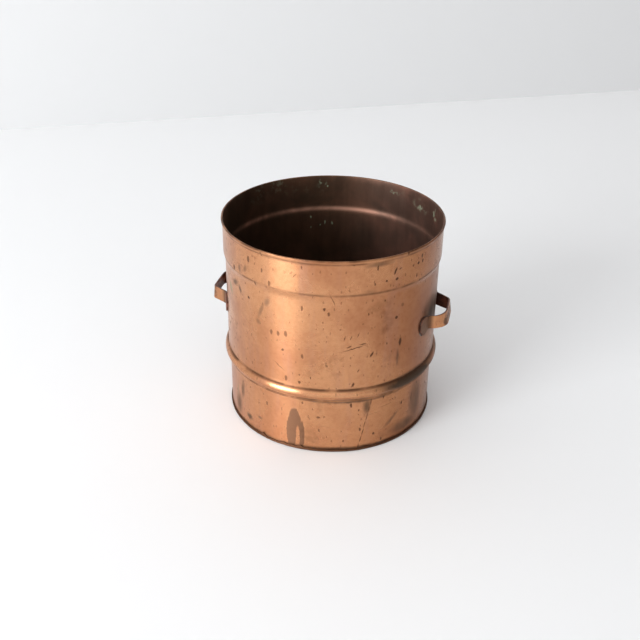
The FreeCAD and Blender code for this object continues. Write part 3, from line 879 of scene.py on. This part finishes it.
class POT_OT_upper_wall(bpy.types.Operator):
    """Build the upper wall, with its skirt, bead, step, collar and folded rim"""
    bl_idname = "pot.upper_wall"
    bl_label = "Upper Wall"

    def execute(self, context):
        sizes = context.scene.pot_sizes
        sheet = sizes.sheet
        inner_wall, inner_collar = sizes.wall_radius - sheet, sizes.collar_radius - sheet
        half_bead = sizes.bead_height / 2
        rise = sizes.bead_radius - sizes.wall_radius
        bead_curve = (rise * rise + half_bead * half_bead) / (2 * rise)
        bead_centre = sizes.bead_radius - bead_curve
        inner_curve = bead_curve - sheet
        bead_reach = math.acos((inner_wall - bead_centre) / inner_curve)
        inner_half = inner_curve * math.sin(bead_reach)
        outline = Outline(inner_wall, sizes.skirt_foot)
        outline.line(inner_wall, sizes.bead_middle - inner_half)
        lower_crease = outline.tip
        outline.arc(bead_centre, sizes.bead_middle, -2 * math.degrees(bead_reach), 24)
        upper_crease = outline.tip
        step_start = outline.line(inner_wall, sizes.step_foot, 18)
        step_end = outline.line(inner_collar, sizes.step_top)
        fold_height = sizes.top - sizes.fold_radius
        outline.line(inner_collar, fold_height, 6)
        outline.arc(inner_collar + sizes.fold_radius, fold_height, 180.0, 8)
        outline.line(sizes.hem_radius - 0.7 * MM, sizes.top - sizes.hem_height, 2)
        outline.soften([lower_crease, upper_crease], 0.7 * MM)
        outline.soften([step_start], 3.0 * MM, 5)
        outline.soften([step_end], 2.4 * MM, 4)
        mesh = outline.spin()
        thicken(mesh, sheet)
        paint_inside(mesh, inner_collar + sizes.fold_radius, fold_height + 0.8 * MM)

        def shape(angle, height):
            groove = 1.0 - smooth_step(abs(height - sizes.groove), 0.0, sizes.groove_width / 2)
            return over_seam(angle, height) - groove * sizes.groove_depth

        def over_seam(angle, height):
            if height > sizes.bead_middle:
                return 0.0
            fade = smooth_step(height, sizes.bead_middle, sizes.skirt_foot + 1.0 * MM)
            return seam_lift(angle, height, math.radians(5.0)) * fade

        settle(mesh, shape)
        finish_piece(mesh, "upper_wall_sheet", ["upper_wall"],
                     ["copper_upper", "copper_inside"])
        return {"FINISHED"}


class POT_OT_lower_wall(bpy.types.Operator):
    """Build the lower wall as a rolled sheet whose ends lap over each other in a slanted seam"""
    bl_idname = "pot.lower_wall"
    bl_label = "Lower Wall"

    def execute(self, context):
        sizes, seam = context.scene.pot_sizes, context.scene.pot_seam
        outline = Outline(sizes.lower_radius - sizes.sheet, sizes.lower_foot)
        outline.line(sizes.lower_radius - sizes.sheet, sizes.lower_top, 22)
        spun = math.radians(350.0)
        mesh = outline.spin(spun)
        whole = math.tau + seam.overlap
        for vert in mesh.verts:
            done = angle_of(vert.co) % math.tau / spun
            if done > 1.01:
                done = 0.0
            radius, height = vert.co.xy.length, vert.co.z
            angle = seam_angle(height) - seam.overlap + done * whole
            left = (1.0 - done) * whole
            covered = smooth_step(height, sizes.bead_middle + 4.0 * MM, sizes.skirt_foot)
            radius += seam.climb * (1.0 - smooth_step(left, 0.0, seam.ramp)) * (0.75 + 0.25 * covered)
            vert.co = Vector((math.cos(angle) * radius, math.sin(angle) * radius, height))
        thicken(mesh, sizes.sheet)
        paint_inside(mesh, sizes.lower_radius, sizes.lower_top)
        settle(mesh)
        finish_piece(mesh, "lower_wall_sheet", ["lower_wall"],
                     ["copper_lower", "copper_inside"])
        return {"FINISHED"}


class POT_OT_base(bpy.types.Operator):
    """Build the base disc with its beaten, uneven turned-up edge"""
    bl_idname = "pot.base"
    bl_label = "Base Disc"

    def execute(self, context):
        sizes = context.scene.pot_sizes
        bend = sizes.base_bend
        outline = Outline(0.0, 0.0)
        outline.line(sizes.base_radius - bend, 0.0, 10)
        outline.arc(sizes.base_radius - bend, bend, -90.0, 4)
        outline.line(sizes.base_radius, sizes.base_lip, 3)
        mesh = outline.spin()
        thicken(mesh, sizes.base_sheet)
        for vert in mesh.verts:
            angle = angle_of(vert.co)
            raised = smooth_step(vert.co.z, bend, sizes.base_lip)
            vert.co.z += raised * ripple(angle, 0.3, 14.0) * 0.9 * MM
            for turn, width, rise in LIP_LUMPS:
                away = abs(turn_between(angle, math.radians(turn)))
                vert.co.z += raised * rise * MM * (1.0 - smooth_step(away, 0.0, math.radians(width)))
        paint_inside(mesh, sizes.base_radius - bend, sizes.base_lip / 2)
        settle(mesh, lambda angle, height: seam_lift(angle, height, math.radians(5.0))
               * smooth_step(height, 0.0, bend))
        finish_piece(mesh, "base_pan", ["base_disc"], ["copper_base", "copper_inside"])
        return {"FINISHED"}


LIP_LUMPS = (  # (angle in degrees, half width in degrees, rise in millimetres) of lumps along the lip
    (-116.4, 2.2, 3.2),
    (-103.1, 3, 1.6),
    (-97.8, 1.8, 1.2),
    (-93.2, 2.4, 2.4),
    (-88, 4, 0.9),
    (24, 2.5, 1.6),
    (131, 2, 2),
)


EVEN_BEND = (13.0, 11.0, 39.5)
STRAP_ROWS = 10


def strap_half(sizes, wall_radius, outer, bend=EVEN_BEND):
    """Half of a strap's face, offset from its middle line, from the grip to the foot's tip.

    bend holds half of the straight grip, the radius of its corner and the root's distance, in millimetres."""
    grip, corner, root = (size * MM for size in bend)
    foot_middle = wall_radius + sizes.solder + sizes.thickness / 2
    strap_middle = sizes.reach - sizes.thickness / 2
    root_angle = math.asin(root / foot_middle)
    tip_angle = math.asin(sizes.foot_tip / foot_middle)
    bend_centre = Vector((math.cos(root_angle), math.sin(root_angle), 0.0)) * (foot_middle + sizes.root_bend)
    corner_centre = Vector((strap_middle - corner, grip, 0.0))
    between = bend_centre - corner_centre
    lean = math.asin((corner + sizes.root_bend) / between.length)
    heading = math.atan2(between.y, between.x) + lean
    leg = math.sqrt(between.length_squared - (corner + sizes.root_bend) ** 2)
    along = Vector((math.cos(heading), math.sin(heading), 0.0))

    mesh = bmesh.new()
    heights = [sizes.middle + sizes.width * (row / STRAP_ROWS - 0.5) for row in range(STRAP_ROWS + 1)]
    across = [mesh.verts.new((strap_middle + outer, 0.0, height)) for height in heights]
    edge = [mesh.edges.new(pair) for pair in zip(across, across[1:])]

    def go(geometry, centre=(0.0, 0.0, 0.0), angle=0.0, slide=(0.0, 0.0, 0.0), steps=1):
        return bmesh.ops.spin(mesh, geom=geometry, cent=centre, axis=UP, angle=angle,
                              dvec=Vector(slide) / steps, steps=steps)["geom_last"]

    tip = go(across + edge, slide=(0.0, grip, 0.0), steps=5)
    tip = go(tip, corner_centre, heading - math.pi / 2, steps=10)
    tip = go(tip, slide=along * leg, steps=8)
    tip = go(tip, bend_centre, root_angle + math.pi / 2 - heading, steps=8)
    before = set(mesh.verts)
    kept = {item for item in tip if isinstance(item, bmesh.types.BMVert)}
    go(tip, angle=tip_angle - root_angle, steps=14)
    foot = [vert for vert in mesh.verts if vert not in before or vert in kept]
    return mesh, foot


def flare_foot(sizes, foot, margin=0.0):
    """Widens a foot from its root and rounds its end."""
    widest, tip = sizes.foot_widest, sizes.foot_tip + margin
    for vert in foot:
        if vert.co.y < widest:
            opening = smooth_step(vert.co.y, sizes.root - 2.0 * MM, widest)
            wide = sizes.width + (sizes.foot_width - sizes.width) * opening
        else:
            gone = min(1.0, (vert.co.y - widest) / (tip - widest))
            wide = sizes.foot_width * max(0.42, math.sqrt(max(0.0, 1.0 - gone * gone)))
        wide += 2 * margin
        vert.co.z = sizes.middle + (vert.co.z - sizes.middle) * wide / sizes.width


STRAPS = (  # (name, turn, lean in degrees, bends of the +Y half and the -Y half before the turn)
    ("handle_right", 0.0, 9.0, ((13.0, 9.0, 32.0), (14.2, 22.0, 39.5))),
    ("handle_left", math.pi, 5.0, ((20.0, 8.0, 39.5), (13.0, 11.0, 38.0))),
)
LEANING = (140.0 * MM, 152.0 * MM)  # the reach between which a strap starts to lean


def join_mesh(mesh, part):
    """Adds a part's geometry to a mesh and frees the part."""
    scratch = bpy.data.meshes.new("scratch")
    part.to_mesh(scratch)
    part.free()
    mesh.from_mesh(scratch)
    bpy.data.meshes.remove(scratch)


class POT_OT_handles(bpy.types.Operator):
    """Build the two strap handles, bent to a loop with flared feet"""
    bl_idname = "pot.handles"
    bl_label = "Strap Handles"

    def execute(self, context):
        sizes, wall = context.scene.pot_handles, context.scene.pot_sizes.wall_radius
        for name, turn, lean, halves in STRAPS:
            mesh = bmesh.new()
            for bend, side in zip(halves, (1.0, -1.0)):
                half, foot = strap_half(sizes, wall, sizes.thickness / 2, bend)
                flare_foot(sizes, foot)
                bmesh.ops.scale(half, vec=(1.0, side, 1.0), verts=half.verts[:])
                join_mesh(mesh, half)
            bmesh.ops.remove_doubles(mesh, verts=mesh.verts[:], dist=0.02 * MM)
            face_out(mesh)
            grip = min(mesh.faces, key=lambda face: abs(face.calc_center_median().y))
            if grip.normal.x < 0.0:
                bmesh.ops.reverse_faces(mesh, faces=mesh.faces[:])
            outer_faces = len(mesh.faces)
            bmesh.ops.solidify(mesh, geom=mesh.faces[:], thickness=sizes.thickness)
            mesh.faces.ensure_lookup_table()
            for face in mesh.faces[outer_faces:]:
                face.material_index = 1
            face_out(mesh)
            for vert in mesh.verts:
                free = smooth_step(vert.co.x, *LEANING)
                vert.co.x += math.tan(math.radians(lean)) * (sizes.middle - vert.co.z) * free
                vert.co.z += noise.noise(vert.co * 42.0) * 0.5 * MM
            turn_round(mesh, turn)
            settle(mesh)
            piece = finish_piece(mesh, f"{name}_strap", [name],
                                 ["strap_rubbed", "strap_oxidised"])
            rounding = piece.modifiers.new("Worn edges", "BEVEL")
            rounding.width = 0.45 * MM
            rounding.segments = 2
            rounding.limit_method = "ANGLE"
            rounding.angle_limit = math.radians(50.0)
        return {"FINISHED"}


class POT_OT_foot_solder(bpy.types.Operator):
    """Build the thin, uneven solder under the feet of the handles"""
    bl_idname = "pot.foot_solder"
    bl_label = "Foot Solder"

    def execute(self, context):
        sizes, wall = context.scene.pot_handles, context.scene.pot_sizes.wall_radius
        for strap, turn, *_ in STRAPS:
            name = f"{strap}_solder"
            mesh, foot = strap_half(sizes, wall, -sizes.thickness / 2)
            kept = set(foot)
            bmesh.ops.delete(mesh, geom=[vert for vert in mesh.verts if vert not in kept], context="VERTS")
            flare_foot(sizes, mesh.verts[:], sizes.solder_margin)
            bmesh.ops.mirror(mesh, geom=mesh.verts[:] + mesh.edges[:] + mesh.faces[:], axis="Y",
                             merge_dist=0.0)
            for vert in mesh.verts:
                vert.co.z += noise.noise(vert.co * 260.0) * 0.5 * MM
            thicken(mesh, sizes.solder)
            turn_round(mesh, turn)
            settle(mesh)
            finish_piece(mesh, f"{name}_pads", [name], ["solder_dull"])
        return {"FINISHED"}


def solder_ring(radius, height, along, up):
    """A fillet of solder run round a corner, with its two legs."""
    outline = Outline(radius, height)
    outline.line(radius + along, height)
    outline.line(radius, height + up, 3)
    outline.line(radius, height)
    mesh = outline.spin()
    for vert in mesh.verts:
        size = 1.0 + 0.5 * ripple(angle_of(vert.co), 0.7, 23.0)
        vert.co.z = height + (vert.co.z - height) * size
    face_out(mesh)
    return mesh


class POT_OT_joint_solder(bpy.types.Operator):
    """Build the rings of solder between the walls and in the inside corner of the base"""
    bl_idname = "pot.joint_solder"
    bl_label = "Joint Solder"

    def execute(self, context):
        sizes = context.scene.pot_sizes
        base = solder_ring(sizes.lower_radius - sizes.sheet, sizes.base_sheet, -2.4 * MM, 2.4 * MM)
        settle(base)
        finish_piece(base, "base_joint_fillet", ["base_joint_solder"], ["solder_dull"])
        inside = solder_ring(sizes.wall_radius - sizes.sheet, sizes.lower_top, -0.9 * MM, 0.9 * MM)
        outside = solder_ring(sizes.lower_radius, sizes.skirt_foot, 0.9 * MM, -0.9 * MM)
        settle(outside, seam_lift)
        settle(inside)
        join_mesh(inside, outside)
        finish_piece(inside, "wall_joint_fillets", ["wall_joint_solder"], ["solder_dull"])
        return {"FINISHED"}


class POT_OT_stage(bpy.types.Operator):
    """Set up the floor, the backdrop, the lights and the camera"""
    bl_idname = "pot.stage"
    bl_label = "Stage"

    def execute(self, context):
        stage = context.scene.pot_stage
        upright = Matrix.Rotation(BACKDROP_TURN, 4, "Z") @ Matrix.Rotation(math.pi / 2, 4, "X")
        floor_paint = painted_material("floor_paint", stage.floor, 0.55)
        backdrop_paint = painted_material("backdrop_paint", stage.backdrop, 0.8)
        floor = self.sheet("floor", (0.0, 0.0, 0.0), Matrix(), floor_paint)
        backdrop = self.sheet("backdrop", BACKDROP_FOOT, upright, backdrop_paint)
        self.camera(context, stage)
        self.window()
        self.sky(context)
        context.scene.view_settings.view_transform = "Standard"
        return {"FINISHED"}

    def sheet(self, name, place, turn, paint):
        """A large flat sheet, with its place in its mesh."""
        mesh = bmesh.new()
        bmesh.ops.create_grid(mesh, x_segments=1, y_segments=1, size=STAGE_SIZE)
        bmesh.ops.transform(mesh, verts=mesh.verts[:], matrix=Matrix.Translation(place) @ turn)
        return place_mesh(mesh, name, [paint])

    def camera(self, context, stage):
        """The camera, looking down at the pot from the front."""
        data = bpy.data.cameras.new("camera")
        data.lens = stage.lens
        data.sensor_width = 36.0
        camera = place_object("camera", data)
        place = Vector((math.sin(stage.side), -math.cos(stage.side), 0.0)) * stage.distance
        place.z = stage.height
        look = (Matrix.Rotation(stage.heading, 4, "Z")
                @ Matrix.Rotation(math.pi / 2 - stage.tilt, 4, "X")
                @ Matrix.Rotation(stage.roll, 4, "Z"))
        camera.matrix_world = Matrix.Translation(place) @ look
        context.scene.camera = camera

    def window(self):
        """A large soft window at the front left."""
        data = bpy.data.lights.new("window", "AREA")
        data.shape = "RECTANGLE"
        data.size, data.size_y = WINDOW_SIZE
        data.energy = WINDOW_POWER
        data.color = WINDOW_COLOUR
        place = Vector((math.cos(WINDOW_SIDE), math.sin(WINDOW_SIDE), 0.0)) * WINDOW_DISTANCE
        place.z = WINDOW_HEIGHT
        look = (Vector((0.0, 0.0, 0.15)) - place).to_track_quat("-Z", "Y")
        place_object("window", data).matrix_world = Matrix.Translation(place) @ look.to_matrix().to_4x4()

    def sky(self, context):
        """A white sky that is brighter on the window's side."""
        world = bpy.data.worlds.new("studio")
        world.use_nodes = True
        tree = world.node_tree
        sky = tree.nodes["Background"]
        sky.inputs["Color"].default_value = (1.0, 1.0, 1.0, 1.0)
        way = tree.nodes.new("ShaderNodeTexCoord").outputs["Object"]
        facing = dot(tree, way, (math.cos(WINDOW_SIDE), math.sin(WINDOW_SIDE), 0.3))
        tree.links.new(remap(tree, facing, -0.6, 0.9, 0.30, 1.15), sky.inputs["Strength"])
        context.scene.world = world


STAGE_SIZE = 6.0
BACKDROP_FOOT = (-0.30, 1.39, 0.0)
BACKDROP_TURN = math.radians(28.0)
WINDOW_SIDE = math.radians(-125.0)
WINDOW_DISTANCE = 3.5
WINDOW_HEIGHT = 1.05
WINDOW_SIZE = (1.6, 2.0)
WINDOW_POWER = 128.0
WINDOW_COLOUR = (0.97, 1.0, 1.015)


class POT_PT_panel(bpy.types.Panel):
    """Lists the pot's pieces, sizes and finishes"""
    bl_idname = "POT_PT_panel"
    bl_label = "Copper Pot"
    bl_space_type = "VIEW_3D"
    bl_region_type = "UI"
    bl_category = "Copper Pot"

    def draw(self, context):
        layout = self.layout
        for operator in OPERATORS:
            layout.operator(operator.bl_idname)
        for name in SETTINGS:
            settings = getattr(context.scene, name)
            box = layout.box()
            box.label(text=name.replace("_", " ").capitalize())
            for prop in settings.__annotations__:
                box.prop(settings, prop)


SETTINGS = {
    "pot_sizes": PotSizes,
    "pot_seam": SeamSizes,
    "pot_handles": HandleSizes,
    "pot_finish": Finish,
    "pot_stage": StageSettings,
}
OPERATORS = (
    POT_OT_upper_wall,
    POT_OT_lower_wall,
    POT_OT_base,
    POT_OT_joint_solder,
    POT_OT_handles,
    POT_OT_foot_solder,
    POT_OT_stage,
)
CLASSES = (*SETTINGS.values(), *OPERATORS, POT_PT_panel)


def register():
    for item in CLASSES:
        bpy.utils.register_class(item)
    for name, kind in SETTINGS.items():
        setattr(bpy.types.Scene, name, bpy.props.PointerProperty(type=kind))


def unregister():
    for name in SETTINGS:
        delattr(bpy.types.Scene, name)
    for item in reversed(CLASSES):
        bpy.utils.unregister_class(item)


def main():
    register()
    for operator in OPERATORS:
        group_name, action = operator.bl_idname.split(".")
        getattr(getattr(bpy.ops, group_name), action)()


if __name__ == "__main__":
    main()
